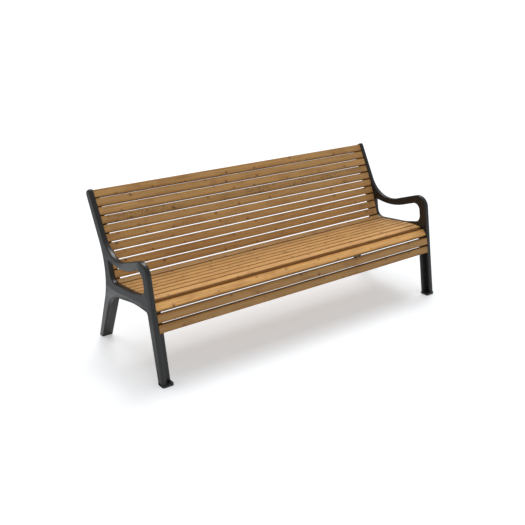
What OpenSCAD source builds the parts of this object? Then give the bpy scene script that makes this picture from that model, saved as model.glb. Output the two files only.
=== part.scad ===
/* [Overall] */
// Length over the outer faces of the two end frames
bench_length = 1900; // [1200:10:2400]
// Depth on the floor, from the toe of the front leg to the heel of the rear leg
foot_depth = 708; // [590:1:800]
// Height of the lower edge of the lowest apron slat above the floor
apron_h = 260; // [215:1:320]
// Height of the highest point of the armrest above the front edge of the seat
arm_rise = 186.5; // [160:0.5:240]

/* [Slats] */
// Width of each slat, measured across its face
slat_w = 41; // [34:0.5:49.5]
// Thickness of each slat
slat_t = 28; // [20:0.5:34]
// Radius of the long edges of a slat
slat_edge_r = 3; // [1:0.5:6]
// Gap between neighbouring slats of the seat and of the backrest
slat_gap = 6; // [3:0.5:12]
// Gap between the two upright slats of the apron
apron_gap = 10; // [5:0.5:16]
// Gap that is left between the backs of the slats where they turn over the nose of the seat
nose_clear = 2.5; // [1.5:0.5:8]
// Gap between the two slats that meet in the bend below the backrest
bend_gap = 5; // [3:0.5:10]
// Clearance between the end of a slat and the end frame beside it
slat_end_gap = 1; // [0.5:0.5:4]

/* [End frames] */
// Thickness of the rim that shows at each end of the bench
rim_t = 26; // [20:1:34]
// Radius of the rim's long edges
rim_edge_r = 6; // [3:1:8]
// How far the flange that carries the slats reaches inward from the rim
flange_w = 34.5; // [26:0.5:44]
// Thickness of that flange
flange_t = 9; // [7:0.5:14]
// How far the rim stands proud of the apron slats
apron_proud = 2; // [0:0.5:8]
// How far the rim stands proud of the backrest slats
back_proud = 8; // [1:0.5:12]
// How far the rim stands proud of the rear of the seat
seat_proud = 1.5; // [1:0.5:12]
// How far the upright reaches behind the flange that carries the backrest
post_cover = 4.5; // [3:0.5:18]
// Depth of the armrest
arm_d = 45; // [38:1:56]
// Depth of the front leg beside the armrest opening
bow_d = 55; // [44:1:64]
// Depth of the front leg at the floor
toe_d = 44; // [39:1:60]
// Depth of the rear leg at the floor
heel_d = 40; // [32:1:56]
// Depth of the seat rail below the front edge of the seat
rail_d = 55; // [48:1:75]

/* [Feet and fixings] */
// Thickness of the base plate under the front foot
plate_t = 12; // [8:1:18]
// How far the base plate reaches out before the foot
plate_lip = 5; // [2:0.5:10]
// Diameter of the anchor hole through each base plate
anchor_d = 11; // [8:0.5:13]
// Diameter of a slat screw
screw_d = 6; // [4:0.5:8]
// Clearance round a screw in the flange, on the diameter
screw_play = 1; // [0.5:0.1:1.5]
// Wood left between the tip of a screw and the face of its slat
screw_skin = 7; // [4:0.5:10]

/* [Hidden] */
function numbered(name, count) = [for (i = [1:count]) str(name, i < 10 ? "0" : "", i)];
apron_slats = 3;
seat_slats = 7;
back_slats = 11;

castiron = "#3a3c3d";
seat_wood = "#c99a63";
back_wood = "#96723f";
zinc = "#8f9294";

slats = apron_slats + seat_slats + back_slats;
first_seat = apron_slats;
first_back = apron_slats + seat_slats;
last = slats - 1;
overlap = 1;

// The walk of the slats: the tilt of each one above the floor plane, from the lowest
// apron slat over the nose and the seat, and round the bend up to the top
leg_tilt = 80;
tilts = concat(
    [leg_tilt, leg_tilt, 45],
    [5, -3, -6, -6, -6, -6, -6],
    [13, 70.5, 70.5, 70.5, 68, 65.5, 63.5, 62, 61, 60.5, 60]
);

function unit(a) = [cos(a), sin(a)];
function face_normal(a) = [-sin(a), cos(a)];
function turn(i) = tilts[i + 1] - tilts[i];
function mean_tilt(i) = (tilts[i] + tilts[i + 1]) / 2;
function backs_meet(i) = 2 * slat_t * sin(max(0, -turn(i)) / 2);
function joint_gap(i) = i == 0 ? apron_gap
    : i < first_seat ? max(slat_gap, nose_clear + backs_meet(i))
    : i == first_back ? bend_gap
    : slat_gap;
gaps = [for (i = [0:last - 1]) joint_gap(i)];

// A point on the line through p at angle a, at height h
function at_height(p, a, h) = p + unit(a) * (h - p[1]) / sin(a);
toe = [0, 0];
first_start = at_height(toe, leg_tilt, apron_h) - apron_proud * face_normal(leg_tilt);
starts = [
    for (
        i = 0, p = first_start;
        i < slats;
        p = p + slat_w * unit(tilts[i]) + (i < last ? gaps[i] * unit(mean_tilt(i)) : [0, 0]),
        i = i + 1
    ) p
];
ends = [for (i = [0:last]) starts[i] + slat_w * unit(tilts[i])];

function behind(p, i, depth) = p - depth * face_normal(tilts[i]);

// Where the planes of slats i and i + 1 meet, both moved back by a depth
function joint(i, depth) = let (half = turn(i) / 2)
    (ends[i] + starts[i + 1]) / 2 - (gaps[i] / 2 * tan(half) + depth / cos(half)) * face_normal(mean_tilt(i));

// Where two lines cross, each given by a point and an angle
function cross2(a, b) = a[0] * b[1] - a[1] * b[0];
function meet(p, a, q, b) = p + unit(a) * cross2(q - p, unit(b)) / cross2(unit(a), unit(b));

// An outline is a list of [corner, radius]. Each corner becomes an arc:
// [centre, radius, start angle, sweep, first point, last point]
arc_step = 7.5;
function arc_steps(arc) = max(1, ceil(abs(arc[3]) / (arc[1] < 40 ? 2 * arc_step : arc_step)));
function turned(from, to) = let (d = to - from) d > 180 ? d - 360 : d < -180 ? d + 360 : d;
function corner_arc(a, b, c, r) = let (
    u = (a - b) / norm(a - b),
    v = (c - b) / norm(c - b),
    half = acos(u * v) / 2,
    centre = b + (u + v) / norm(u + v) * r / sin(half),
    p = b + u * r / tan(half),
    q = b + v * r / tan(half),
    from = atan2(p[1] - centre[1], p[0] - centre[0]),
    sweep = turned(from, atan2(q[1] - centre[1], q[0] - centre[0]))
) [centre, r, from, sweep, p, q];
function arcs(corners) = let (n = len(corners)) [
    for (i = [0:n - 1]) corner_arc(corners[(i + n - 1) % n][0], corners[i][0], corners[(i + 1) % n][0], corners[i][1])
];

// The points of an outline, moved into the metal by inset. Both outlines run clockwise, so
// the metal lies to the right of the outer one (side 1) and to the left of an opening (side -1).
function inset_radius(arc, side, inset) = arc[1] + side * sign(arc[3]) * inset;
function points(arcs, side = 1, inset = 0) = [
    for (arc = arcs) let (steps = arc_steps(arc), r = inset_radius(arc, side, inset))
        for (k = [0:steps]) arc[0] + r * unit(arc[2] + arc[3] * k / steps)
];

// Side outline of an end frame, walked from the toe up the front, over the arm and the
// back, and down the rear leg. It runs on below the floor, where it is cut off flat.
below_floor = 40;
arm_fall = -20;
nose_r = 70;
nose_half = (leg_tilt - arm_fall) / 2;
arm_h = starts[first_seat][1] + arm_rise;
nose = at_height(toe, leg_tilt, arm_h - nose_r + nose_r * tan(nose_half) * sin(leg_tilt) + nose_r * cos(leg_tilt));
post_tilt = 61;
post_rear_tilt = 62.7;
post_over = 7;
post_face = ends[last] + back_proud * face_normal(post_tilt);
post_top_front = post_face + post_over * unit(post_tilt);
post_d = back_proud + slat_t + flange_t + post_cover;
post_top_rear = post_top_front - post_d * face_normal(post_tilt);
arm_corner = meet(nose, arm_fall, post_face, post_tilt);
heel = toe + [foot_depth, 0];
heel_front = heel - [heel_d, 0];
heel_tilt = 113.5;
heel_face_tilt = 116;
toe_rear = toe + [toe_d, 0];
toe_rear_tilt = 78;
rail_front = starts[first_seat] - [0, rail_d];
rail_break = rail_front + [125, -2];
rail_fall = -11;

outer = arcs([
    [at_height(toe, leg_tilt, -below_floor), 14],
    [nose, nose_r],
    [arm_corner, 184],
    [post_top_front, 14],
    [post_top_rear, 18],
    [meet(post_top_rear, post_rear_tilt, heel, heel_tilt), 365],
    [at_height(heel, heel_tilt, -below_floor), 14],
    [at_height(heel_front, heel_face_tilt, -below_floor), 14],
    [meet(heel_front, heel_face_tilt, rail_break, rail_fall), 165],
    [rail_break, 600],
    [meet(toe_rear, toe_rear_tilt, rail_break, 0), 18],
    [at_height(toe_rear, toe_rear_tilt, -below_floor), 14]
]);

// The opening between the armrest and the seat rail
bow_rear = toe + [bow_d / sin(leg_tilt), 0];
arm_under = nose - arm_d * face_normal(arm_fall);
loop_rear = starts[first_back + 1] + [7, 0];
loop_rear_tilt = 79;
loop_rise = 7;
loop_dip = meet(arm_under, arm_fall, arm_corner + [0, 13], loop_rise);
seat_rear = ends[first_back - 1] + [0, seat_proud];
rail_top_tilt = -6;
crown_fall = -14;
rail_crown = meet(seat_rear, rail_top_tilt, starts[first_seat] + [0, 32], crown_fall);
loop = arcs([
    [meet(bow_rear, leg_tilt, arm_under, arm_fall), 40],
    [loop_dip, 390],
    [meet(loop_dip, loop_rise, loop_rear, loop_rear_tilt), 7],
    [meet(loop_rear, loop_rear_tilt, seat_rear, rail_top_tilt), 52],
    [rail_crown, 300],
    [meet(bow_rear, leg_tilt, rail_crown, crown_fall), 43]
]);

// The flange behind the slats: one flat for each slat in front, mitred planes behind
flange_depth = slat_t + flange_t;
leg_foot_front = at_height(behind(starts[0], 0, slat_t), leg_tilt, -below_floor);
leg_foot_rear = at_height(behind(starts[0], 0, flange_depth), leg_tilt, -below_floor);
flange = concat(
    [leg_foot_front],
    [for (i = [0:last]) each [behind(starts[i], i, slat_t), behind(ends[i], i, slat_t)]],
    [behind(ends[last], last, flange_depth)],
    [for (i = [last - 1:-1:0]) joint(i, flange_depth)],
    [leg_foot_rear]
);

// The flange of the rear leg, flush with the leg's front edge, up to the flange of the seat
rear_flange_top = joint(first_back - 1, slat_t + flange_t / 2);
flange_setback = 1.5;
rear_flange = let (
    foot = at_height(heel_front, heel_face_tilt, -below_floor) + [flange_setback / sin(heel_face_tilt), 0],
    top = meet(foot, heel_face_tilt, rear_flange_top, tilts[first_back]),
    side = [flange_t / sin(heel_face_tilt), 0]
) [foot, foot + side, top + side, top];

// An outline in the side view, given a thickness along the bench
module across(from, to) {
    translate([from, 0, 0]) rotate([90, 0, 90]) linear_extrude(to - from) children();
}

// The rounded edge of the rim: a ring that follows an outline, made of one section
// [depth into the metal, place along the bench] at each of its points
edge_steps = 3;
bead_d = rim_edge_r + 3;
quarter = [for (k = [0:edge_steps]) let (a = 90 * k / edge_steps) rim_edge_r * [1 - sin(a), 1 - cos(a)]];
section = concat(
    [[bead_d, 0]],
    quarter,
    [for (k = [edge_steps:-1:0]) [quarter[k][0], rim_t - quarter[k][1]]],
    [[bead_d, rim_t]]
);

module edge_bead(arcs, side) {
    rows = [for (s = section) points(arcs, side, s[0])];
    n = len(rows[0]);
    m = len(section);
    verts = [for (j = [0:m - 1], p = rows[j]) [section[j][1], p[0], p[1]]];
    faces = [
        for (j = [0:m - 1], k = [0:n - 1]) let (j2 = (j + 1) % m, k2 = (k + 1) % n)
            side < 0 ? [j * n + k, j2 * n + k, j2 * n + k2, j * n + k2] : [j * n + k2, j2 * n + k2, j2 * n + k, j * n + k]
    ];
    polyhedron(verts, faces, convexity = 6);
}

module rim() {
    across(0, rim_t) difference() {
        polygon(points(outer, 1, bead_d - 1.5));
        polygon(points(loop, -1, bead_d - 1.5));
    }
    edge_bead(outer, 1);
    edge_bead(loop, -1);
}

// Screw places: the middle of each slat's back, and the flange's middle along the bench.
// A driver's way stays clear behind each head.
head_r = 7;
head_h = 4;
driver_room = 30;
screw_x = rim_t + flange_w / 2;
screw_bite = slat_t - screw_skin;
function screw_seat(i) = behind((starts[i] + ends[i]) / 2, i, flange_depth);

// Puts its children at slat i's screw, +Z out of the face of the slat
module at_screw(i) {
    p = screw_seat(i);
    translate([screw_x, p[0], p[1]]) rotate([tilts[i], 0, 0]) children();
}

module slat_profile() {
    r = slat_edge_r;
    translate([r, -slat_t]) square([slat_w - 2 * r, slat_t]);
    translate([0, r - slat_t]) square([slat_w, slat_t - 2 * r]);
    for (u = [r, slat_w - r], w = [-r, r - slat_t]) {
        translate([u, w]) circle(r, $fn = 24);
    }
}

module slat(i) {
    end_x = rim_t + slat_end_gap;
    difference() {
        across(end_x, bench_length - end_x) translate(starts[i]) rotate(tilts[i]) slat_profile();
        both_ends() at_screw(i) translate([0, 0, flange_t]) cylinder(h = screw_bite + 1, d = screw_d, $fn = 24);
    }
}

// Its children at the left end, and mirrored at the right end
module both_ends() {
    children();
    translate([bench_length, 0, 0]) mirror([1, 0, 0]) children();
}

module flange() {
    across(rim_t - rim_edge_r - overlap, rim_t + flange_w) {
        polygon(flange);
        polygon(rear_flange);
    }
}

// Base plate with rounded corners, its anchor hole in the nook before the leg's flange
plate_r = 9;
plate_depth = toe_d + 6 + plate_lip;
plate_w = rim_t + flange_w + 0.5;
anchor = [screw_x, (at_height(behind(starts[0], 0, slat_t), leg_tilt, plate_t)[0] - plate_lip) / 2];
module base_plate() {
    translate([0, toe[0] - plate_lip, 0]) linear_extrude(plate_t) {
        translate([plate_r, 0]) square([plate_w - 2 * plate_r, plate_depth]);
        translate([0, plate_r]) square([plate_w, plate_depth - 2 * plate_r]);
        for (x = [plate_r, plate_w - plate_r], y = [plate_r, plate_depth - plate_r]) {
            translate([x, y]) circle(plate_r, $fn = 48);
        }
    }
}

module end_frame() {
    difference() {
        union() {
            rim();
            flange();
            base_plate();
        }
        translate([-10, -200, -2 * below_floor]) cube([2 * rim_t + flange_w + 40, 1200, 2 * below_floor]);
        for (i = [0:last]) {
            at_screw(i) translate([0, 0, -1]) cylinder(h = flange_t + 2, d = screw_d + screw_play, $fn = 32);
            at_screw(i) translate([0, 0, -driver_room]) cylinder(h = driver_room, r = head_r + 1, $fn = 32);
        }
        translate([anchor[0], anchor[1], -1]) cylinder(h = plate_t + 2, d = anchor_d, $fn = 48);
    }
}

module screw(i) {
    at_screw(i) rotate_extrude($fn = 32) polygon([
        [0, -head_h],
        [head_r * 0.55, -head_h],
        [head_r * 0.85, -head_h * 0.6],
        [head_r, -1.2],
        [head_r, 0],
        [screw_d / 2, 0],
        [screw_d / 2, flange_t + screw_bite - 2],
        [0.6, flange_t + screw_bite],
        [0, flange_t + screw_bite]
    ]);
}

module screws(from, to) {
    for (i = [from:to]) {
        screw(i);
    }
}

// The bench is drawn from its left end and its toe, and then centred on its footprint
outer_points = points(outer);
front_most = min(toe[0] - plate_lip, min([for (p = outer_points) if (p[1] > 0) p[0]]));
rear_most = max([for (p = outer_points) if (p[1] > 0) p[0]]);
module centred() {
    translate([-bench_length / 2, -(front_most + rear_most) / 2, 0]) children();
}

module left_end() {
    centred() children();
}

module right_end() {
    mirror([1, 0, 0]) centred() children();
}

module end_frame_left() {
    color(castiron) left_end() end_frame();
}

module end_frame_right() {
    color(castiron) right_end() end_frame();
}

module wooden_slat(i, tone) {
    color(tone) centred() slat(i);
}

end_frame_left();
end_frame_right();
for (i = [0:apron_slats - 1]) {
    wooden_slat(i, back_wood);
}
for (i = [0:seat_slats - 1]) {
    wooden_slat(first_seat + i, seat_wood);
}
for (i = [0:back_slats - 1]) {
    wooden_slat(first_back + i, back_wood);
}
color(zinc) left_end() screws(0, first_seat - 1);  // apron_screws_left
color(zinc) right_end() screws(0, first_seat - 1);  // apron_screws_right
color(zinc) left_end() screws(first_seat, first_back - 1);  // seat_screws_left
color(zinc) right_end() screws(first_seat, first_back - 1);  // seat_screws_right
color(zinc) left_end() screws(first_back, last);  // back_screws_left
color(zinc) right_end() screws(first_back, last);  // back_screws_right
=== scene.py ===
"""Slatted garden bench: wooden slats on two cast end frames, on a pale studio floor."""
import math

import bmesh
import bpy
from bpy.props import FloatProperty, FloatVectorProperty, PointerProperty
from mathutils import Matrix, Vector
from mathutils.kdtree import KDTree


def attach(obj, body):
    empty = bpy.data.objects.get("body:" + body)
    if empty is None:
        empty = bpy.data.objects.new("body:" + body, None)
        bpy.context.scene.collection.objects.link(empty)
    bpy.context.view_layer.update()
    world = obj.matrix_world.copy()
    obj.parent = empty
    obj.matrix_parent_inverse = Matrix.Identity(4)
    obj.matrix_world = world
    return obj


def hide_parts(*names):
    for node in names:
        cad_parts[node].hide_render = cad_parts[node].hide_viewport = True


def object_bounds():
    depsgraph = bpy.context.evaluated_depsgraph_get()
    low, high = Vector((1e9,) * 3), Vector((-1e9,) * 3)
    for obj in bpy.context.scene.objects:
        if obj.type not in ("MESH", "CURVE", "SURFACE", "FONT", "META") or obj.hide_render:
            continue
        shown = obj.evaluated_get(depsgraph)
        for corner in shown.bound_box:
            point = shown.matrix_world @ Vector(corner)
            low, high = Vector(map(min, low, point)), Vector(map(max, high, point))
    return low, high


bl_info = {
    "name": "Slatted Garden Bench",
    "version": (1, 0, 0),
    "blender": (4, 5, 0),
    "location": "View3D > Sidebar > Bench",
    "description": "Finishes a slatted garden bench with wooden slats and cast end frames",
    "category": "Add Mesh",
}

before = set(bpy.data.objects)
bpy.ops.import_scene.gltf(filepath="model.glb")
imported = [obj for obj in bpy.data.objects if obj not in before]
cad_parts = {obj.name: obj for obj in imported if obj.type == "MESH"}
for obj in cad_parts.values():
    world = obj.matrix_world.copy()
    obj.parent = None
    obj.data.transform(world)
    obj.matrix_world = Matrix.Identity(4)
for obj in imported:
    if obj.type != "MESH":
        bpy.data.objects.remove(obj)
CAD_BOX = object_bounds()
LENGTH = CAD_BOX[1].x - CAD_BOX[0].x


# ---------------------------------------------------------------- sizes and colours


def length(name, description, default):
    return FloatProperty(name=name, description=description, default=default, unit="LENGTH")


def colour(name, description, *default):
    return FloatVectorProperty(
        name=name, description=description, default=default, subtype="COLOR", size=3, min=0.0, max=1.0
    )


class BenchSizes(bpy.types.PropertyGroup):
    """Sizes of the slats and the gaps between them"""

    slat_width: length("Slat width", "Width of a slat across its face", 0.041)
    slat_thickness: length("Slat thickness", "Thickness of a slat", 0.028)
    slat_edge: length("Slat edge radius", "Radius of a slat's long edges", 0.003)
    slat_gap: length("Slat gap", "Gap between neighbouring slats", 0.006)
    apron_gap: length("Apron gap", "Gap between the two upright apron slats", 0.010)
    nose_clear: length("Nose clearance", "Gap between the backs of the nose slats", 0.0025)
    bend_gap: length("Bend gap", "Gap between the two slats in the bend", 0.005)
    apron_height: length("Apron height", "Lower edge of the lowest slat", 0.260)
    apron_proud: length("Apron setback", "How far the rim stands proud of the apron", 0.002)
    rim_thickness: length("Rim thickness", "Thickness of an end frame's rim", 0.026)
    slat_end_gap: length("End clearance", "Clearance at the ends of a slat", 0.001)
    toe_to_front: length("Toe setback", "From the footprint's front edge to the toe", 0.005)


class BenchFinishes(bpy.types.PropertyGroup):
    """Colours of the coating, the wood and the screws"""

    coating: colour("Coating", "Powder coating of the end frames", 0.0138, 0.0138, 0.0137)
    wood_light: colour("Light wood", "Early wood between the grain lines", 0.680, 0.372, 0.116)
    wood_dark: colour("Dark wood", "Late wood in the grain lines", 0.36, 0.160, 0.048)
    wood_edge: colour("Wood edge", "Warmer wood along a slat's edges", 0.525, 0.252, 0.066)
    wood_middle: colour("Wood middle", "Paler wood in the middle of a slat", 0.630, 0.357, 0.133)
    # Painted shade: a dark, dull brown laid on the narrow sides of each slat, which face the gaps between
    # slats.
    painted_side_shade: colour("Wood side", "Painted shade on the narrow sides of a slat", 0.20, 0.125, 0.055)
    knot: colour("Knots", "Heart of the knots", 0.085, 0.035, 0.015)
    screw: colour("Screws", "Zinc plating of the screws", 0.42, 0.42, 0.42)


# ---------------------------------------------------------------- the walk of the slats

LEG_TILT = 80.0
APRON_TILTS = [LEG_TILT, LEG_TILT, 45.0]
SEAT_TILTS = [5.0, -3.0, -6.0, -6.0, -6.0, -6.0, -6.0]
BACK_TILTS = [13.0, 70.5, 70.5, 70.5, 68.0, 65.5, 63.5, 62.0, 61.0, 60.5, 60.0]
TILTS = APRON_TILTS + SEAT_TILTS + BACK_TILTS
# Brightness of each slat's wood, by zone: partly each board's own tone, partly painted light and shade. The
# upright apron slats and the slat in the bend are darkened, and the seat grows darker towards the back.
APRON_TONES_AND_SHADE = [0.80, 0.84, 1.42]
SEAT_TONES_AND_SHADE = [1.18, 1.16, 1.10, 1.02, 1.04, 0.98, 0.86]
BACK_TONES_AND_SHADE = [0.72, 1.00, 0.97, 1.00, 0.96, 0.97, 0.93, 0.80, 0.98, 0.92, 0.96]
FIGURED = 17
PLAIN_FIGURE = 0.15


def unit(angle):
    return Vector((math.cos(math.radians(angle)), math.sin(math.radians(angle))))


def face_normal(angle):
    return Vector((-math.sin(math.radians(angle)), math.cos(math.radians(angle))))


def slat_walk(sizes):
    """Start and end of every slat's face in the side view, from the apron up to the top."""
    toe = Vector((CAD_BOX[0].y + sizes.toe_to_front, 0.0))
    point = toe + unit(LEG_TILT) * sizes.apron_height / math.sin(math.radians(LEG_TILT))
    point = point - sizes.apron_proud * face_normal(LEG_TILT)
    walk = []
    for i, tilt in enumerate(TILTS):
        end = point + sizes.slat_width * unit(tilt)
        walk.append((point, end, tilt))
        if i == len(TILTS) - 1:
            break
        turn = TILTS[i + 1] - tilt
        gap = sizes.slat_gap
        if i == 0:
            gap = sizes.apron_gap
        elif i == len(APRON_TILTS) + len(SEAT_TILTS):
            gap = sizes.bend_gap
        elif i < len(APRON_TILTS):
            backs = 2 * sizes.slat_thickness * math.sin(math.radians(max(0.0, -turn)) / 2)
            gap = max(gap, sizes.nose_clear + backs)
        point = end + gap * unit((tilt + TILTS[i + 1]) / 2)
    return walk


# ---------------------------------------------------------------- nodes and materials

KNOT_PITCH = 0.21
KNOT_SMALLEST = 0.0015
KNOT_SPREAD = 0.0055
BOARD_SHIFT = 3.37
SIDE_WIDTH = 0.0012


def put(tree, kind, links=None, **values):
    """A node with its values set by name, and its inputs linked from other nodes' outputs."""
    node = tree.nodes.new(kind)
    for key, value in values.items():
        if hasattr(node, key):
            setattr(node, key, value)
        else:
            node.inputs[key.replace("_", " ")].default_value = value
    for key, socket in (links or {}).items():
        tree.links.new(socket, node.inputs[key])
    return node


def new_material(name):
    material = bpy.data.materials.new(name)
    material.use_nodes = True
    tree = material.node_tree
    tree.nodes.clear()
    shader = put(tree, "ShaderNodeBsdfPrincipled")
    put(tree, "ShaderNodeOutputMaterial", {"Surface": shader.outputs[0]})
    return material, tree, shader


def maths(tree, operation, first, second=None, clamp=False):
    """One step of arithmetic between sockets or plain numbers."""
    node = put(tree, "ShaderNodeMath", operation=operation, use_clamp=clamp)
    for i, value in enumerate((first, second)):
        if isinstance(value, (int, float)):
            node.inputs[i].default_value = value
        elif value is not None:
            tree.links.new(value, node.inputs[i])
    return node.outputs[0]


def ramp(tree, factor, stops):
    node = put(tree, "ShaderNodeValToRGB", {0: factor})
    for element, (place, shade) in zip(node.color_ramp.elements, stops):
        element.position = place
        element.color = (*shade, 1.0)
    return node.outputs[0]


def blend(tree, factor, first, second):
    """Two colours, or colour sockets, mixed by a factor."""
    node = put(tree, "ShaderNodeMix", data_type="RGBA")
    for key, value in (("Factor", factor), ("A", first), ("B", second)):
        socket = next(s for s in node.inputs if s.name == key and s.enabled)
        if isinstance(value, tuple):
            socket.default_value = (*value, 1.0)
        else:
            tree.links.new(value, socket)
    return next(s for s in node.outputs if s.type == "RGBA" and s.enabled)


def spread(tree, value, low, high, to_low=0.0, to_high=1.0):
    """A value eased from one range to another."""
    node = put(
        tree, "ShaderNodeMapRange", {"Value": value}, interpolation_type="SMOOTHSTEP",
        From_Min=low, From_Max=high, To_Min=to_low, To_Max=to_high,
    )
    return node.outputs["Result"]


def noise(tree, vector, scale, detail, roughness=0.5, distortion=0.0):
    """Value of a noise pattern at some coordinates."""
    node = put(
        tree, "ShaderNodeTexNoise", {"Vector": vector},
        Scale=scale, Detail=detail, Roughness=roughness, Distortion=distortion,
    )
    return node.outputs["Fac"]


def board_noise(tree, places, lengthwise, crosswise, detail, roughness=0.5, distortion=0.0):
    """Noise over a board, with its own fineness lengthwise and crosswise."""
    vector = put(tree, "ShaderNodeCombineXYZ")
    for i, (place, fineness) in enumerate(zip(places, (lengthwise, crosswise, 1.0))):
        tree.links.new(maths(tree, "MULTIPLY", place, fineness), vector.inputs[i])
    return noise(tree, vector.outputs[0], 1.0, detail, roughness, distortion)


def coating_material(finishes):
    """Satin powder coating over a casting: a fine orange peel and a faint unevenness."""
    material, tree, shader = new_material("satin_powder_coat")
    places = put(tree, "ShaderNodeTexCoord").outputs["Object"]
    peel = noise(tree, places, 900.0, 2.0)
    cast = noise(tree, places, 45.0, 4.0)
    heights = maths(tree, "ADD", peel, cast)
    bump = put(tree, "ShaderNodeBump", {"Height": heights}, Strength=0.12, Distance=0.0006)
    base = tuple(finishes.coating)
    pale = tuple(1.25 * c for c in base)
    tree.links.new(ramp(tree, cast, [(0.35, base), (0.7, pale)]), shader.inputs["Base Color"])
    tree.links.new(bump.outputs[0], shader.inputs["Normal"])
    shader.inputs["Roughness"].default_value = 0.32
    shader.inputs["Specular IOR Level"].default_value = 0.5
    return material


def add_knots(tree, body, x, across, board, half, dark, knot):
    """Small knots near a board's edges: one cell of the pattern along the board holds one of them."""
    runs = maths(tree, "DIVIDE", maths(tree, "ADD", x, board), KNOT_PITCH)
    cells = put(
        tree, "ShaderNodeTexVoronoi", {"W": runs}, voronoi_dimensions="1D", Scale=1.0, Randomness=0.8
    )
    cell = put(tree, "ShaderNodeSeparateColor", {"Color": cells.outputs["Color"]})
    side = maths(tree, "SUBTRACT", cell.outputs[0], 0.5)
    out = maths(tree, "MULTIPLY", maths(tree, "ABSOLUTE", side), half)
    home = maths(tree, "MULTIPLY", maths(tree, "SIGN", side), maths(tree, "ADD", out, half * 0.42))
    rise = maths(tree, "SUBTRACT", across, home)
    size = maths(tree, "ADD", maths(tree, "MULTIPLY", cell.outputs[1], KNOT_SPREAD), KNOT_SMALLEST)
    run = maths(tree, "MULTIPLY", cells.outputs["Distance"], KNOT_PITCH)
    crook = board_noise(tree, (x, across, board), 260.0, 260.0, 2.0)
    bent = maths(tree, "MULTIPLY", maths(tree, "SUBTRACT", crook, 0.5), 0.9)
    squares = maths(tree, "ADD", maths(tree, "POWER", run, 2.0), maths(tree, "POWER", rise, 2.0))
    far = maths(tree, "SQRT", squares)
    reach = maths(tree, "ADD", maths(tree, "DIVIDE", far, size), bent)
    body = blend(tree, spread(tree, reach, 3.2, 0.8, 0.0, 0.45), body, dark)
    return blend(tree, spread(tree, reach, 1.15, 0.45, 0.0, 0.75), body, knot)


def wood_material(sizes, finishes):
    """Oiled softwood: fine long grain, darker orange edges, a paler middle, knots and dark marks, with
    painted shade on the narrow sides and a brightness for each slat that is partly painted light and shade.
    """
    material, tree, shader = new_material("oiled_slat_wood")
    light, dark, knot = tuple(finishes.wood_light), tuple(finishes.wood_dark), tuple(finishes.knot)
    edge, pale = tuple(finishes.wood_edge), tuple(finishes.wood_middle)
    half = sizes.slat_width / 2

    local = put(tree, "ShaderNodeAttribute", attribute_name="local").outputs["Vector"]
    number, tone, figure = (
        put(tree, "ShaderNodeAttribute", attribute_name=name).outputs["Fac"]
        for name in ("slat", "tone", "figure")
    )
    x, across, deep = put(tree, "ShaderNodeSeparateXYZ", {"Vector": local}).outputs
    board = maths(tree, "MULTIPLY", number, BOARD_SHIFT)
    turned = maths(tree, "ADD", across, maths(tree, "MULTIPLY", deep, 0.6))
    x_own = maths(tree, "ADD", x, board)
    slanted, level = (x_own, turned, board), (x_own, across, board)

    # Warm edges with a ragged border, then grain, pores and clouds of lighter and darker wood.
    wander = board_noise(tree, slanted, 2.6, 18.0, 3.0)
    grain = board_noise(tree, slanted, 5.0, 190.0, 4.0, 0.6, 0.35)
    pores = board_noise(tree, slanted, 42.0, 620.0, 2.0)
    cloud = board_noise(tree, level, 7.0, 9.0, 2.0)
    out = maths(tree, "ABSOLUTE", across)
    ragged = maths(tree, "ADD", out, maths(tree, "MULTIPLY", maths(tree, "SUBTRACT", wander, 0.5), 0.016))
    body = blend(tree, spread(tree, ragged, half * 0.42, half * 0.86), pale, edge)
    body = blend(tree, spread(tree, grain, 0.44, 0.70, 0.0, 0.62), body, dark)
    body = blend(tree, spread(tree, grain, 0.56, 0.30, 0.0, 0.5), body, light)
    body = blend(tree, spread(tree, pores, 0.55, 0.80, 0.0, 0.35), body, dark)
    body = blend(tree, spread(tree, cloud, 0.52, 0.70, 0.0, 0.45), body, light)
    body = blend(tree, spread(tree, cloud, 0.47, 0.30, 0.0, 0.38), body, dark)
    body = add_knots(tree, body, x, across, board, half, dark, knot)

    # Figured wood: a cloud of small dark flecks, strong on one board.
    fleck = spread(tree, board_noise(tree, level, 60.0, 130.0, 3.0, 0.7), 0.49, 0.62, 0.0, 0.6)
    patch = spread(tree, board_noise(tree, level, 3.5, 14.0, 1.0), 0.40, 0.58)
    flecks = maths(tree, "MULTIPLY", maths(tree, "MULTIPLY", fleck, patch), figure)
    body = blend(tree, flecks, body, knot)
    # Painted shade on the narrow sides of a slat and the outer part of its rounded edges, where they face the
    # gaps between slats.
    side_shade_mask = maths(tree, "GREATER_THAN", out, half - SIDE_WIDTH)
    body = blend(tree, maths(tree, "MULTIPLY", side_shade_mask, 0.55), body, tuple(finishes.painted_side_shade))

    # Each slat's wood is scaled by its brightness value: partly the board's own tone, partly painted light
    # and shade.
    toned = put(tree, "ShaderNodeVectorMath", {0: body, "Scale": tone}, operation="SCALE")
    heights = maths(tree, "ADD", grain, pores)
    bump = put(tree, "ShaderNodeBump", {"Height": heights}, Strength=0.15, Distance=0.0005)
    tree.links.new(toned.outputs[0], shader.inputs["Base Color"])
    tree.links.new(bump.outputs[0], shader.inputs["Normal"])
    shader.inputs["Roughness"].default_value = 0.55
    shader.inputs["Specular IOR Level"].default_value = 0.3
    return material


def screw_material(finishes):
    """Zinc plating, a little uneven in colour and gloss."""
    material, tree, shader = new_material("zinc_screw")
    patches = noise(tree, put(tree, "ShaderNodeTexCoord").outputs["Object"], 320.0, 3.0)
    zinc = tuple(finishes.screw)
    dull = tuple(0.6 * c for c in zinc)
    tree.links.new(ramp(tree, patches, [(0.35, dull), (0.65, zinc)]), shader.inputs["Base Color"])
    tree.links.new(spread(tree, patches, 0.3, 0.7, 0.45, 0.28), shader.inputs["Roughness"])
    shader.inputs["Metallic"].default_value = 1.0
    return material


# ---------------------------------------------------------------- outline of an end frame


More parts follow.
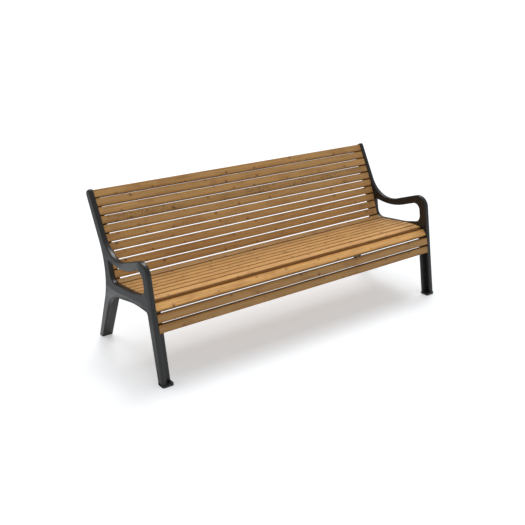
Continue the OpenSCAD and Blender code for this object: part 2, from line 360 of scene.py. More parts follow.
class Casting:
    """Sizes of a cast end frame, in metres and degrees."""

    # Rim, flange and the finish of the rim's outline.
    rim_t = 0.026
    edge_r = 0.006
    flange_w = 0.0345
    flange_t = 0.009
    foot_r = 0.014
    # Toe, bow and nose.
    toe_d = 0.044
    toe_rear_tilt = 78.0
    bow_d = 0.055
    bow_tilt = 80.0
    nose_r = 0.070
    # Arm.
    arm_h = 0.592
    arm_d = 0.045
    arm_fall = -20.0
    dip_r = 0.184
    # Post behind the back slats.
    back_proud = 0.008
    post_tilt = 61.0
    post_rear_tilt = 62.7
    post_over = 0.007
    post_d = 0.0495
    top_front_r = 0.014
    top_rear_r = 0.018
    back_r = 0.365
    # Rear leg.
    foot_depth = 0.708
    heel_d = 0.040
    heel_tilt = 113.5
    heel_face_tilt = 116.0
    # Seat rail and the arch under it.
    rail_d = 0.055
    rail_break = (0.125, -0.002)
    rail_fall = -11.0
    rail_front_tilt = 0.0
    arch_rear_r = 0.165
    arch_r = 0.600
    arch_front_r = 0.018
    # Loop between the arm and the seat rail.
    loop_back = 0.007
    loop_lift = 0.096
    loop_rise = 7.0
    loop_rear_tilt = 79.0
    loop_front_r = 0.040
    loop_dip_r = 0.390
    loop_top_r = 0.007
    loop_rear_r = 0.052
    loop_foot_r = 0.043
    seat_proud = 0.0015
    rail_top_tilt = -6.0
    crown_h = 0.032
    crown_fall = -14.0
    crown_r = 0.300
    # Base plate under the front foot and its anchor hole.
    plate_w = 0.061
    plate_t = 0.012
    plate_r = 0.009
    plate_lip = 0.005
    plate_behind = 0.006
    anchor = (0.04325, 0.01379)
    anchor_r = 0.0055


# How the castings are meshed.
BELOW_FLOOR = 0.040
ARC_TURN = math.radians(9)
SAME_TILT = 0.1
EDGE_STEPS = 6
OUTLINE_STEP = 0.006
FINE_STEP = 0.001
GRID = 0.006
TINY = 1e-6
OVERLAP = 0.001
FLUSH = 0.0004


def at_height(point, angle, height):
    """Where the line through a point at an angle reaches a height."""
    return point + unit(angle) * (height - point.y) / math.sin(math.radians(angle))


def cross2(a, b):
    return a.x * b.y - a.y * b.x


def meet(p, a, q, b):
    """Where two lines cross, each given by a point and an angle."""
    return p + unit(a) * cross2(q - p, unit(b)) / cross2(unit(a), unit(b))


def corner_arc(a, b, c, radius):
    """Centre, radius, start and sweep of the arc that rounds the corner at b, between a and c."""
    u = (a - b).normalized()
    v = (c - b).normalized()
    half = math.acos(max(-1.0, min(1.0, u.dot(v)))) / 2
    centre = b + (u + v).normalized() * radius / math.sin(half)
    p = b + u * radius / math.tan(half)
    q = b + v * radius / math.tan(half)
    start = math.atan2(p.y - centre.y, p.x - centre.x)
    sweep = math.atan2(q.y - centre.y, q.x - centre.x) - start
    while sweep > math.pi:
        sweep -= 2 * math.pi
    while sweep < -math.pi:
        sweep += 2 * math.pi
    return centre, radius, start, sweep


def arcs(corners):
    """Corners with radii, each turned into an arc."""
    following = corners[1:] + corners[:1]
    return [
        corner_arc(corners[i - 1][0], corner, after[0], radius)
        for i, ((corner, radius), after) in enumerate(zip(corners, following))
    ]


def outline_points(arc_list, side, inset, step):
    """Points of an outline moved into the metal by the inset."""
    points = []
    for centre, radius, start, sweep in arc_list:
        count = max(3, math.ceil(abs(sweep) * radius / step), math.ceil(abs(sweep) / ARC_TURN))
        r = radius + side * math.copysign(1, sweep) * inset
        for k in range(count + 1):
            a = start + sweep * k / count
            points.append(centre + r * Vector((math.cos(a), math.sin(a))))
    return points


def frame_outlines(sizes):
    """Arcs of the outer outline and of the arm loop, in the plane of the side view."""
    walk = slat_walk(sizes)
    first_seat = len(APRON_TILTS)
    first_back = first_seat + len(SEAT_TILTS)
    toe = Vector((CAD_BOX[0].y + sizes.toe_to_front, 0.0))
    k = Casting
    nose_half = math.radians((LEG_TILT - k.arm_fall) / 2)
    leg = math.radians(LEG_TILT)
    lift = k.nose_r * (math.tan(nose_half) * math.sin(leg) + math.cos(leg))
    nose = at_height(toe, LEG_TILT, k.arm_h - k.nose_r + lift)
    post_face = walk[-1][1] + k.back_proud * face_normal(k.post_tilt)
    post_top_front = post_face + k.post_over * unit(k.post_tilt)
    post_top_rear = post_top_front - k.post_d * face_normal(k.post_tilt)
    heel = toe + Vector((k.foot_depth, 0))
    heel_front = heel - Vector((k.heel_d, 0))
    toe_rear = toe + Vector((k.toe_d, 0))
    rail_front = walk[first_seat][0] - Vector((0, k.rail_d))
    rail_break = rail_front + Vector(k.rail_break)
    outer = arcs([
        (at_height(toe, LEG_TILT, -BELOW_FLOOR), k.foot_r),
        (nose, k.nose_r),
        (meet(nose, k.arm_fall, post_face, k.post_tilt), k.dip_r),
        (post_top_front, k.top_front_r),
        (post_top_rear, k.top_rear_r),
        (meet(post_top_rear, k.post_rear_tilt, heel, k.heel_tilt), k.back_r),
        (at_height(heel, k.heel_tilt, -BELOW_FLOOR), k.foot_r),
        (at_height(heel_front, k.heel_face_tilt, -BELOW_FLOOR), k.foot_r),
        (meet(heel_front, k.heel_face_tilt, rail_break, k.rail_fall), k.arch_rear_r),
        (rail_break, k.arch_r),
        (meet(toe_rear, k.toe_rear_tilt, rail_break, k.rail_front_tilt), k.arch_front_r),
        (at_height(toe_rear, k.toe_rear_tilt, -BELOW_FLOOR), k.foot_r),
    ])
    bow_rear = toe + Vector((k.bow_d / math.sin(math.radians(LEG_TILT)), 0))
    arm_under = nose - k.arm_d * face_normal(k.arm_fall)
    loop_rear = walk[first_back + 1][0] + Vector((k.loop_back, 0))
    loop_dip = meet(arm_under, k.arm_fall, loop_rear + Vector((0, k.loop_lift)), k.loop_rise)
    seat_rear = walk[first_back - 1][1] + Vector((0, k.seat_proud))
    seat_front = walk[first_seat][0]
    crown = meet(seat_rear, k.rail_top_tilt, seat_front + Vector((0, k.crown_h)), k.crown_fall)
    loop = arcs([
        (meet(bow_rear, k.bow_tilt, arm_under, k.arm_fall), k.loop_front_r),
        (loop_dip, k.loop_dip_r),
        (meet(loop_dip, k.loop_rise, loop_rear, k.loop_rear_tilt), k.loop_top_r),
        (meet(loop_rear, k.loop_rear_tilt, seat_rear, k.rail_top_tilt), k.loop_rear_r),
        (crown, k.crown_r),
        (meet(bow_rear, k.bow_tilt, crown, k.crown_fall), k.loop_foot_r),
    ])
    return outer, loop


def edge_rows(radius, thickness, steps):
    """Section of the rim's edge: depth into the metal and place along the bench."""
    quarter = []
    for k in range(steps + 1):
        a = math.radians(90 * k / steps)
        quarter.append((radius * (1 - math.sin(a)), radius * (1 - math.cos(a))))
    return quarter + [(depth, thickness - place) for depth, place in reversed(quarter)]


def add_ring(bm, arc_list, side, rows, step, x0, sign):
    """Quads along an outline, one row for each place of the section. Returns the first and last loops."""
    loops = []
    for depth, place in rows:
        points = outline_points(arc_list, side, depth, step)
        loops.append([bm.verts.new((x0 + sign * place, p.x, p.y)) for p in points])
    n = len(loops[0])
    for low, high in zip(loops, loops[1:]):
        for k in range(n):
            k2 = (k + 1) % n
            bm.faces.new((low[k], low[k2], high[k2], high[k]))
    return loops[0], loops[-1]


def fill_between(bm, loop_a, loop_b):
    """A flat face between two closed loops of vertices."""
    edges = []
    for loop in (loop_a, loop_b):
        n = len(loop)
        edges += [bm.edges.get((loop[k], loop[(k + 1) % n])) for k in range(n)]
    bmesh.ops.triangle_fill(bm, edges=edges, use_beauty=True)


def prism(bm, outline, x_from, x_to):
    """A closed prism over a side outline."""
    low = [bm.verts.new((x_from, p.x, p.y)) for p in outline]
    high = [bm.verts.new((x_to, p.x, p.y)) for p in outline]
    n = len(outline)
    for k in range(n):
        k2 = (k + 1) % n
        bm.faces.new((low[k], low[k2], high[k2], high[k]))
    bm.faces.new(low[::-1])
    bm.faces.new(high)


def flange_outline(sizes):
    """Side outline of the flange that the slats lie on, from the front foot round to it again."""
    walk = slat_walk(sizes)
    t, f = sizes.slat_thickness, Casting.flange_t
    points = [at_height(walk[0][0] - t * face_normal(LEG_TILT), LEG_TILT, -BELOW_FLOOR)]
    for start, end, tilt in walk:
        points.append(start - t * face_normal(tilt))
        points.append(end - t * face_normal(tilt))
    depth = t + f
    _, last_end, last_tilt = walk[-1]
    points.append(last_end - depth * face_normal(last_tilt))
    for i in range(len(walk) - 2, -1, -1):
        start, end, tilt = walk[i]
        next_start, _, next_tilt = walk[i + 1]
        back = start - depth * face_normal(tilt)
        if abs(tilt - next_tilt) > SAME_TILT:
            next_back = next_start - depth * face_normal(next_tilt)
            points.append(meet(back, tilt, next_back, next_tilt))
        else:
            points.append((end + next_start) / 2 - depth * face_normal(tilt))
    points.append(at_height(walk[0][0] - depth * face_normal(LEG_TILT), LEG_TILT, -BELOW_FLOOR))
    return points


# ---------------------------------------------------------------- relief of the outer face

# Lines on the outer face, from the toe: the seam under the arm and the crease over the bevel as pairs
# of place and height, and the rear edge of the front leg as pairs of height and place.
SEAM = [(0.134, 0.440), (0.300, 0.440), (0.477, 0.491), (0.512, 0.500), (0.552, 0.505)]
CREASE = [
    (0.102, 0.386), (0.150, 0.378), (0.241, 0.365), (0.332, 0.355),
    (0.435, 0.340), (0.509, 0.337), (0.551, 0.340),
]
STRIP = [(0.000, 0.075), (0.330, 0.125), (0.364, 0.102), (0.382, 0.109), (0.426, 0.117), (0.435, 0.134)]
# The seam's first two runs lie mostly over the open loop, so only the later ones cut the face.
SEAM_CUT_FROM = 2

# How far the band stands proud and how wide its step is, the crown of its edges, the slope of the bevel
# and the height it ends at, and how much of the relief is left close to an edge of the face.
BAND_PROUD = 0.0020
STEP_W = 0.005
CROWN = 0.0022
CROWN_W = 0.024
BEVEL = 0.50
BEVEL_END = 0.265
RELIEF_DEPTH = 0.0025
EDGE_SHARE = 0.25
EDGE_WIDTH = 0.012

# Leans of the face, as slopes: how strong each is, where it starts and how far it takes to do so.
BOW_LEAN, BOW_END, BOW_FADE = 0.30, 0.200, 0.045
BOW_FOOT, BOW_KNEE, BOW_RISE = 0.4, 0.26, 0.10
POST_LEAN, POST_START, POST_FADE = 0.21, 0.30, 0.20
POST_HEIGHT, ARM_HEIGHT, UPPER_RISE = 0.45, 0.46, 0.03
POST_WAY = Vector((0.88, -0.47))
ARM_LEAN = 0.03
WEB_LEAN = 0.17
WEB_WAY = Vector((0.8, -0.6))


def along(places, value):
    """Straight runs between places, each a pair of value and height, carried on past both ends."""
    for (a, high_a), (b, high_b) in zip(places, places[1:]):
        if value < b or b == places[-1][0]:
            return high_a + (high_b - high_a) * (value - a) / (b - a)
    return places[-1][1]


def ease(share):
    share = max(0.0, min(1.0, share))
    return share * share * (3 - 2 * share)


def relief(tree, y, z):
    """Height of the outer face over the casting's side plane, never above it; y runs from the toe."""
    behind = y - along(STRIP, z)
    below = along(SEAM, y) - z
    web = ease(min(behind, below) / STEP_W)
    height = -BAND_PROUD * web
    depth = tree.find((0.0, y, z))[2]
    height -= CROWN * (1 - web) * (1 - min(depth, CROWN_W) / CROWN_W) ** 2
    low = along(CREASE, y) - z
    if low > 0 and behind > 0:
        length_down = along(CREASE, y) - BEVEL_END
        low = min(low, length_down)
        height -= BEVEL * ease(behind / STEP_W) * (low - low * low / (2 * length_down))
    return height


def lean(y, z):
    """Lean of the face's shading along y and z, on top of the relief: it does not move the surface."""
    bow = ease((BOW_END - y) / BOW_FADE) * (BOW_FOOT + (1 - BOW_FOOT) * ease((z - BOW_KNEE) / BOW_RISE))
    post = ease((z - POST_HEIGHT) / UPPER_RISE) * ease((y - POST_START) / POST_FADE)
    arm = ease((z - ARM_HEIGHT) / UPPER_RISE) * (1 - bow) * (1 - post)
    behind = y - along(STRIP, z)
    below = along(SEAM, y) - z
    web = ease(min(behind, below) / STEP_W) * ease((z - along(CREASE, y)) / STEP_W)
    slope = BOW_LEAN * bow * (1 - web) * Vector((1.0, 0.0))
    slope += POST_LEAN * post * (1 - web) * POST_WAY
    slope += ARM_LEAN * arm * (1 - web) * Vector((0.0, 1.0))
    slope += WEB_LEAN * web * WEB_WAY
    return Vector((0.0, slope.x, slope.y))


def relief_cuts(toe):
    """Planes that cut the outer face along the relief's lines and in a grid, each a place and a normal."""
    cuts = []
    for line in (SEAM[SEAM_CUT_FROM:], CREASE, [(y, z) for z, y in STRIP]):
        for a, b in zip(line, line[1:]):
            start = Vector(a)
            run = (Vector(b) - start).normalized()
            across = Vector((-run.y, run.x))
            for shift in (0.0, STEP_W / 2, STEP_W):
                at = start + across * -shift
                cuts.append(((0.0, toe + at.x, at.y), (0.0, across.x, across.y)))
    for k in range(1, int(CAD_BOX[1].z / GRID) + 1):
        cuts.append(((0.0, 0.0, k * GRID), (0.0, 0.0, 1.0)))
    for k in range(int((CAD_BOX[1].y - CAD_BOX[0].y) / GRID) + 1):
        cuts.append(((0.0, CAD_BOX[0].y + k * GRID, 0.0), (0.0, 1.0, 0.0)))
    return cuts


def carve(mesh, sizes, outlines, x0, sign):
    """Presses the relief into the outer face and gives the face its shading."""
    toe = CAD_BOX[0].y + sizes.toe_to_front
    points = [p for arc_list in outlines for p in outline_points(arc_list, 1, 0.0, FINE_STEP)]
    tree = KDTree(len(points))
    for i, p in enumerate(points):
        tree.insert((0.0, p.x - toe, p.y), i)
    tree.balance()
    normals = [corner.vector.copy() for corner in mesh.corner_normals]
    half = Casting.rim_t / 2
    slopes = {}
    step = FINE_STEP
    for vertex in mesh.vertices:
        inward = sign * (vertex.co.x - x0)
        if inward > half:
            continue
        y, z = vertex.co.y - toe, vertex.co.z
        here = relief(tree, y, z)
        slope_y = (relief(tree, y + step, z) - relief(tree, y - step, z)) / (2 * step)
        slope_z = (relief(tree, y, z + step) - relief(tree, y, z - step)) / (2 * step)
        slopes[vertex.index] = Vector((0.0, slope_y, slope_z)) + lean(y, z)
        share = ease((half - inward) / (half - Casting.edge_r))
        inside = tree.find((0.0, y, z))[2]
        share *= EDGE_SHARE + (1 - EDGE_SHARE) * ease(inside / EDGE_WIDTH)
        vertex.co.x += sign * share * min(RELIEF_DEPTH, -here)
    for loop in mesh.loops:
        slope = slopes.get(loop.vertex_index)
        if slope is None:
            continue
        facing = max(0.0, -sign * normals[loop.index].x)
        normals[loop.index] = (normals[loop.index] - facing * slope).normalized()
    mesh.normals_split_custom_set(normals)


# ---------------------------------------------------------------- end frame mesh


def cut_outer_face(bm, toe, x0):
    """Divides the flat outer face along the relief's lines and a grid, for the relief to bend it."""
    cap = [f for f in bm.faces if all(abs(v.co.x - x0) < TINY for v in f.verts)]
    geom = cap + list({e for f in cap for e in f.edges}) + list({v for f in cap for v in f.verts})
    for place, normal in relief_cuts(toe):
        geom = bmesh.ops.bisect_plane(bm, geom=geom, dist=TINY, plane_co=place, plane_no=normal)["geom"]


def rear_leg_flange(sizes):
    """Side outline of the flange along the front of the rear leg."""
    toe = Vector((CAD_BOX[0].y + sizes.toe_to_front, 0.0))
    heel_front = toe + Vector((Casting.foot_depth, 0)) - Vector((Casting.heel_d, 0))
    foot = at_height(heel_front, Casting.heel_face_tilt, -BELOW_FLOOR) + Vector((FLUSH, 0))
    first_back = len(APRON_TILTS) + len(SEAT_TILTS)
    middle = Casting.flange_t / 2
    seat_end = slat_walk(sizes)[first_back - 1][1]
    top_point = seat_end - (sizes.slat_thickness + middle) * face_normal(TILTS[first_back - 1])
    top = meet(foot, Casting.heel_face_tilt, top_point, TILTS[first_back])
    side = Vector((Casting.flange_t / math.sin(math.radians(Casting.heel_face_tilt)), 0))
    return [foot, foot + side, top + side, top]


def end_frame_mesh(sizes, sign):
    """The cast end frame at one end of the bench; sign is +1 at the left end and -1 at the right."""
    bm = bmesh.new()
    outer, loop = frame_outlines(sizes)
    x0 = -sign * LENGTH / 2
    rows = edge_rows(Casting.edge_r, Casting.rim_t, EDGE_STEPS)
    a0, a1 = add_ring(bm, outer, 1, rows, OUTLINE_STEP, x0, sign)
    b0, b1 = add_ring(bm, loop, -1, rows, OUTLINE_STEP, x0, sign)
    fill_between(bm, a0, b0)
    fill_between(bm, a1, b1)
    toe = Vector((CAD_BOX[0].y + sizes.toe_to_front, 0.0))
    cut_outer_face(bm, toe.x, x0)
    x_from = x0 + sign * (Casting.rim_t - Casting.edge_r - OVERLAP)
    x_to = x0 + sign * (Casting.rim_t + Casting.flange_w)
    prism(bm, flange_outline(sizes), x_from, x_to)
    prism(bm, rear_leg_flange(sizes), x_from, x_to)
    geom = bm.verts[:] + bm.edges[:] + bm.faces[:]
    bmesh.ops.bisect_plane(bm, geom=geom, plane_co=(0, 0, 0), plane_no=(0, 0, 1), clear_inner=True)
    plate(bm, sizes, x0, sign)
    bmesh.ops.recalc_face_normals(bm, faces=bm.faces[:])
    mesh = bpy.data.meshes.new("end_frame")
    bm.to_mesh(mesh)
    bm.free()
    mesh.shade_smooth()
    mesh.set_sharp_from_angle(angle=math.radians(40))
    carve(mesh, sizes, (outer, loop), x0, sign)
    return mesh


def plate(bm, sizes, x0, sign):
    """The base plate under the front foot, with rounded corners and its anchor hole."""
    front = CAD_BOX[0].y + sizes.toe_to_front - Casting.plate_lip
    r, w = Casting.plate_r, Casting.plate_w
    d = Casting.toe_d + Casting.plate_behind + Casting.plate_lip
    points = []
    for i, (x, y) in enumerate([(0, 0), (w, 0), (w, d), (0, d)]):
        cx, cy = min(max(x, r), w - r), min(max(y, r), d - r)
        for k in range(7):
            a = math.radians(180 + 90 * i + 15 * k)
            points.append((cx + r * math.cos(a), cy + r * math.sin(a)))
    hole = []
    for k in range(24):
        a = math.radians(15 * k)
        hole_y = Casting.plate_lip + Casting.anchor[1] + Casting.anchor_r * math.sin(a)
        hole.append((Casting.anchor[0] + Casting.anchor_r * math.cos(a), hole_y))
    caps = []
    for outline in (points, hole):
        low = [bm.verts.new((x0 + sign * x, front + y, 0.0)) for x, y in outline]
        high = [bm.verts.new((x0 + sign * x, front + y, Casting.plate_t)) for x, y in outline]
        n = len(outline)
        for k in range(n):
            bm.faces.new((low[k], low[(k + 1) % n], high[(k + 1) % n], high[k]))
        caps.append((low, high))
    fill_between(bm, caps[0][0], caps[1][0])
    fill_between(bm, caps[0][1], caps[1][1])


# ---------------------------------------------------------------- geometry nodes

FILLET_COUNT = 5
SCREW_SIZES = {
    "Head radius": 0.0070,
    "Head height": 0.0040,
    "Socket radius": 0.0034,
    "Shank radius": 0.0030,
    "Shank length": 0.0300,
}


def new_tree(name, values):
    """A tree that takes a geometry and one number for each named size."""
    tree = bpy.data.node_groups.new(name, "GeometryNodeTree")
    tree.interface.new_socket("Geometry", in_out="INPUT", socket_type="NodeSocketGeometry")
    for label in values:
        tree.interface.new_socket(label, in_out="INPUT", socket_type="NodeSocketFloat")
    tree.interface.new_socket("Geometry", in_out="OUTPUT", socket_type="NodeSocketGeometry")
    return tree, tree.nodes.new("NodeGroupInput").outputs, tree.nodes.new("NodeGroupOutput").inputs


def stored(tree, geometry, name, value, data_type, domain):
    """A geometry with a value kept on it under a name."""
    links = {"Geometry": geometry, "Value": value}
    kind = "GeometryNodeStoreNamedAttribute"
    return put(tree, kind, links, data_type=data_type, domain=domain, Name=name).outputs[0]


def set_on_points(tree, points, instance):
    """One instance at every point, tipped by the point's tilt."""
    tilt = put(tree, "GeometryNodeInputNamedAttribute", data_type="FLOAT", Name="tilt")
    turn = put(tree, "ShaderNodeCombineXYZ", {"X": tilt.outputs["Attribute"]})
    links = {"Points": points, "Instance": instance, "Rotation": turn.outputs[0]}
    return put(tree, "GeometryNodeInstanceOnPoints", links).outputs[0]


def close_tree(tree, instances, material, group_out):
    solid = put(tree, "GeometryNodeRealizeInstances", {"Geometry": instances})
    done = put(tree, "GeometryNodeSetMaterial", {"Geometry": solid.outputs[0]}, Material=material)
    tree.links.new(done.outputs[0], group_out[0])


def slat_tree(material, values):
    """One rounded slat swept along the bench, set at every point with the point's tilt."""
    tree, given, group_out = new_tree("slat_row", values)
    half = maths(tree, "MULTIPLY", given["Length"], 0.5)
    left = put(tree, "ShaderNodeCombineXYZ", {"X": maths(tree, "MULTIPLY", half, -1.0)})
    right = put(tree, "ShaderNodeCombineXYZ", {"X": half})
    ends = {"Start": left.outputs[0], "End": right.outputs[0]}
    path = put(tree, "GeometryNodeCurvePrimitiveLine", ends)
    sides = {"Width": given["Width"], "Height": given["Thickness"]}
    section = put(tree, "GeometryNodeCurvePrimitiveQuadrilateral", sides)
    corners = {"Curve": section.outputs[0], "Radius": given["Edge radius"]}
    eased = put(tree, "GeometryNodeFilletCurve", corners, mode="POLY", Count=FILLET_COUNT)
    sweep = {"Curve": path.outputs[0], "Profile Curve": eased.outputs[0]}
    slat = put(tree, "GeometryNodeCurveToMesh", sweep, Fill_Caps=True)
    place = put(tree, "GeometryNodeInputPosition")
    marked = stored(tree, slat.outputs[0], "local", place.outputs[0], "FLOAT_VECTOR", "POINT")
    rows = set_on_points(tree, given["Geometry"], marked)
    index = put(tree, "GeometryNodeInputIndex")
    numbered = stored(tree, rows, "slat", index.outputs[0], "FLOAT", "INSTANCE")
    close_tree(tree, numbered, material, group_out)
    return tree


def screw_tree(material):
    """A coach screw with a domed head and a hexagon socket, set at every point with the point's tilt."""
    tree, given, group_out = new_tree("screw_row", SCREW_SIZES)

    def scaled(socket, factor):
        return maths(tree, "MULTIPLY", socket, factor)

    def lifted(geometry, socket):
        lift = put(tree, "ShaderNodeCombineXYZ", {"Z": socket})
        links = {"Geometry": geometry, "Translation": lift.outputs[0]}
        return put(tree, "GeometryNodeTransform", links).outputs[0]

    def cylinder(radius, depth, sides):
        links = {"Radius": radius, "Depth": depth}
        return put(tree, "GeometryNodeMeshCylinder", links, Vertices=sides).outputs["Mesh"]

    head_r, head_h, long = given["Head radius"], given["Head height"], given["Shank length"]
    band = cylinder(head_r, scaled(head_h, 0.4), 32)
    links = {"Radius Top": scaled(head_r, 0.62), "Radius Bottom": head_r, "Depth": scaled(head_h, 0.6)}
    dome = put(tree, "GeometryNodeMeshCone", links, Vertices=32)
    links = {"Geometry": dome.outputs["Mesh"]}
    flipped = put(tree, "GeometryNodeTransform", links, Rotation=(math.pi, 0.0, 0.0))
    hollow = cylinder(given["Socket radius"], scaled(head_h, 1.4), 6)
    shank = cylinder(given["Shank radius"], long, 24)
    pressed = put(tree, "GeometryNodeMeshBoolean", operation="DIFFERENCE")
    tree.links.new(lifted(flipped.outputs[0], scaled(head_h, -0.4)), pressed.inputs["Mesh 1"])
    tree.links.new(lifted(hollow, scaled(head_h, -1.2)), pressed.inputs["Mesh 2"])
    whole = put(tree, "GeometryNodeJoinGeometry")
    tree.links.new(lifted(band, scaled(head_h, -0.2)), whole.inputs[0])
    tree.links.new(pressed.outputs["Mesh"], whole.inputs[0])
    tree.links.new(lifted(shank, scaled(long, 0.5)), whole.inputs[0])
    close_tree(tree, set_on_points(tree, given["Geometry"], whole.outputs[0]), material, group_out)
    return tree


def grown(name, tree, base, values):
    """The mesh that a tree grows from a base mesh, as a plain object at the origin."""
    carrier = bpy.data.objects.new(name + "_base", base)
    bpy.context.scene.collection.objects.link(carrier)
    modifier = carrier.modifiers.new("grow", "NODES")
    modifier.node_group = tree
    for item in tree.interface.items_tree:
        if item.in_out == "INPUT" and item.name in values:
            modifier[item.identifier] = values[item.name]
    depsgraph = bpy.context.evaluated_depsgraph_get()
    mesh = bpy.data.meshes.new_from_object(carrier.evaluated_get(depsgraph))
    bpy.data.objects.remove(carrier)
    mesh.name = name
    piece = bpy.data.objects.new(name, mesh)
    bpy.context.scene.collection.objects.link(piece)
    return piece


def point_mesh(name, points, attributes):
    mesh = bpy.data.meshes.new(name)
    mesh.from_pydata([tuple(p) for p in points], [], [])
    for key, values in attributes.items():
        layer = mesh.attributes.new(key, "FLOAT", "POINT")
        layer.data.foreach_set("value", values)
    return mesh


# ---------------------------------------------------------------- stage

FLOOR_REACH = 40.0
FLOOR_DROP = 0.0005
FLOOR_COLOUR = (0.79, 0.82, 0.85, 1.0)
FLOOR_LIFT = 0.355
FLOOR_GLOSS = 0.45
SKY_GLOSS = 0.05
AMBIENT = 0.42
WHITE = (1.0, 1.0, 1.0, 1.0)
# Name, direction towards the lamp, spread in degrees and strength.
SUNS = (
    ("overhead", (0.02, 0.24, 0.97), 48.0, 0.95),
    ("softbox", (0.389, 0.356, 0.847), 24.0, 0.85),
)
CAMERA_PLACE = (-2.3556, -3.0594, 1.8088)
CAMERA_TURN = (68.793, 0.0, -36.4255)


def white_share(tree, glossy_share):
    """How much of the white surroundings a ray meets: all for the camera and through glass, less in gloss."""
    path = put(tree, "ShaderNodeLightPath").outputs
    gloss = maths(tree, "MULTIPLY", path["Is Glossy Ray"], glossy_share)
    seen = maths(tree, "ADD", path["Is Camera Ray"], path["Is Transmission Ray"])
    return maths(tree, "ADD", seen, gloss, clamp=True)


def floor_material():
    """Matt white floor that keeps its shadow, lifted to white for the camera."""
    material, tree, shader = new_material("white_floor")
    shader.inputs["Base Color"].default_value = FLOOR_COLOUR
    shader.inputs["Roughness"].default_value = 0.9
    shader.inputs["Specular IOR Level"].default_value = 0.1
    shader.inputs["Emission Color"].default_value = WHITE
    lift = maths(tree, "MULTIPLY", white_share(tree, FLOOR_GLOSS), FLOOR_LIFT)
    tree.links.new(lift, shader.inputs["Emission Strength"])
    return material


def set_sky(scene):
    """Dim white light all round, seen as full white by the camera."""
    world = bpy.data.worlds.new("studio")
    scene.world = world
    world.use_nodes = True
    tree = world.node_tree
    tree.nodes.clear()
    dim = put(tree, "ShaderNodeBackground", Color=WHITE, Strength=AMBIENT)
    white = put(tree, "ShaderNodeBackground", Color=WHITE, Strength=1.0)
    links = {0: white_share(tree, SKY_GLOSS), 1: dim.outputs[0], 2: white.outputs[0]}
    mix = put(tree, "ShaderNodeMixShader", links)
    put(tree, "ShaderNodeOutputWorld", {"Surface": mix.outputs[0]})


def sun_light(name, towards, width, strength):
    """A wide soft light at a distance, so that it falls evenly over the floor."""
    data = bpy.data.lights.new(name, "SUN")
    data.energy = strength
    data.angle = math.radians(width)
    lamp = bpy.data.objects.new(name, data)
    lamp.rotation_euler = Vector(towards).to_track_quat("Z", "Y").to_euler()
    bpy.context.scene.collection.objects.link(lamp)


# ---------------------------------------------------------------- operators


class BENCH_OT_slats(bpy.types.Operator):
    """Grow the 21 wooden slats over the apron, the seat and the back"""

    bl_idname = "bench.slats"
    bl_label = "Slats"

    def execute(self, context):
        sizes = context.scene.bench_sizes
        wood = wood_material(sizes, context.scene.bench_finishes)
        walk = slat_walk(sizes)
        centres, tilts = [], []
        for start, end, tilt in walk:
            centre = (start + end) / 2 - sizes.slat_thickness / 2 * face_normal(tilt)
            centres.append((0.0, centre.x, centre.y))
            tilts.append(math.radians(tilt))
        # Per-slat brightness: partly each board's own tone, partly painted light and shade.
        tones = APRON_TONES_AND_SHADE + SEAT_TONES_AND_SHADE + BACK_TONES_AND_SHADE
        figures = [PLAIN_FIGURE] * len(walk)
        figures[FIGURED] = 1.0
        base = point_mesh("slat_places", centres, {"tilt": tilts, "tone": tones, "figure": figures})
        values = {
            "Length": LENGTH - 2 * (sizes.rim_thickness + sizes.slat_end_gap),
            "Width": sizes.slat_width,
            "Thickness": sizes.slat_thickness,
            "Edge radius": sizes.slat_edge,
        }
        piece = grown("slats", slat_tree(wood, values), base, values)
        piece.data.shade_smooth()
        piece.data.set_sharp_from_angle(angle=math.radians(40))
        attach(piece, "root")
        names = [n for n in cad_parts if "_slat_" in n]
        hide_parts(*names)
        return {"FINISHED"}


class BENCH_OT_end_frames(bpy.types.Operator):
    """Finish the two cast end frames"""

    bl_idname = "bench.end_frames"
    bl_label = "End Frames"

    def execute(self, context):
        coat = coating_material(context.scene.bench_finishes)
        for name, sign in (("end_frame_left", 1), ("end_frame_right", -1)):
            mesh = end_frame_mesh(context.scene.bench_sizes, sign)
            mesh.materials.append(coat)
            piece = bpy.data.objects.new(name + "_cast", mesh)
            bpy.context.scene.collection.objects.link(piece)
            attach(piece, "root")
            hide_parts(name)
        return {"FINISHED"}


class BENCH_OT_screws(bpy.types.Operator):
    """Finish the slat screws"""

    bl_idname = "bench.screws"
    bl_label = "Screws"

    def execute(self, context):
        sizes = context.scene.bench_sizes
        zinc = screw_material(context.scene.bench_finishes)
        flange_middle = LENGTH / 2 - Casting.rim_t - Casting.flange_w / 2
        places, tilts = [], []
        for start, end, tilt in slat_walk(sizes):
            seat = (start + end) / 2 - (sizes.slat_thickness + Casting.flange_t) * face_normal(tilt)
            for side in (-1, 1):
                places.append((side * flange_middle, seat.x, seat.y))
                tilts.append(math.radians(tilt))
        base = point_mesh("screw_places", places, {"tilt": tilts})
        piece = grown("screws", screw_tree(zinc), base, SCREW_SIZES)
        piece.data.shade_smooth()
        piece.data.set_sharp_from_angle(angle=math.radians(30))
        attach(piece, "root")
        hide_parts(*[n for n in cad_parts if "_screws_" in n])
        return {"FINISHED"}


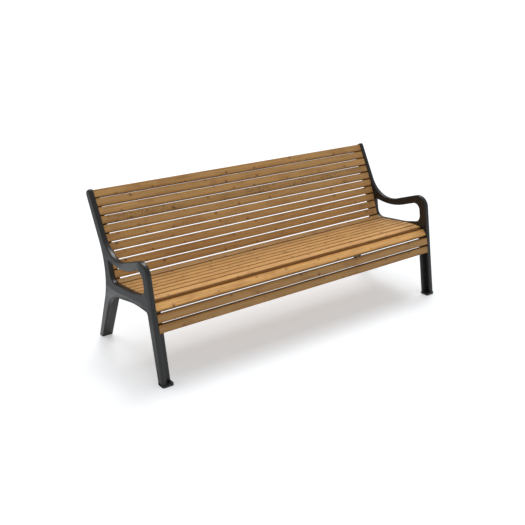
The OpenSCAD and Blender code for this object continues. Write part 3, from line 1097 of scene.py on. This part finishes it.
class BENCH_OT_stage(bpy.types.Operator):
    """Set the pale floor, the soft light and the camera"""

    bl_idname = "bench.stage"
    bl_label = "Stage"

    def execute(self, context):
        scene = context.scene
        mesh = bpy.data.meshes.new("floor")
        signs = ((-1, -1), (1, -1), (1, 1), (-1, 1))
        corners = [(FLOOR_REACH * x, FLOOR_REACH * y, 0.0) for x, y in signs]
        mesh.from_pydata(corners, [], [(0, 1, 2, 3)])
        floor = bpy.data.objects.new("floor", mesh)
        scene.collection.objects.link(floor)
        floor.location.z = -FLOOR_DROP
        mesh.materials.append(floor_material())
        set_sky(scene)
        for sun in SUNS:
            sun_light(*sun)
        data = bpy.data.cameras.new("camera")
        data.lens = 50.0
        data.sensor_width = 36.0
        data.clip_end = 200.0
        camera = bpy.data.objects.new("camera", data)
        camera.location = CAMERA_PLACE
        camera.rotation_euler = [math.radians(angle) for angle in CAMERA_TURN]
        scene.collection.objects.link(camera)
        scene.camera = camera
        scene.view_settings.view_transform = "Standard"
        return {"FINISHED"}


class BENCH_PT_panel(bpy.types.Panel):
    """Lists the steps that finish the bench"""

    bl_label = "Garden Bench"
    bl_idname = "BENCH_PT_panel"
    bl_space_type = "VIEW_3D"
    bl_region_type = "UI"
    bl_category = "Bench"

    def draw(self, context):
        for step in STEPS:
            self.layout.operator(step.bl_idname)


STEPS = (BENCH_OT_slats, BENCH_OT_end_frames, BENCH_OT_screws, BENCH_OT_stage)
CLASSES = (BenchSizes, BenchFinishes, *STEPS, BENCH_PT_panel)


def register():
    for cls in CLASSES:
        bpy.utils.register_class(cls)
    bpy.types.Scene.bench_sizes = PointerProperty(type=BenchSizes)
    bpy.types.Scene.bench_finishes = PointerProperty(type=BenchFinishes)


def unregister():
    del bpy.types.Scene.bench_finishes
    del bpy.types.Scene.bench_sizes
    for cls in reversed(CLASSES):
        bpy.utils.unregister_class(cls)


def main():
    register()
    bpy.ops.bench.slats()
    bpy.ops.bench.end_frames()
    bpy.ops.bench.screws()
    bpy.ops.bench.stage()


if __name__ == "__main__":
    main()
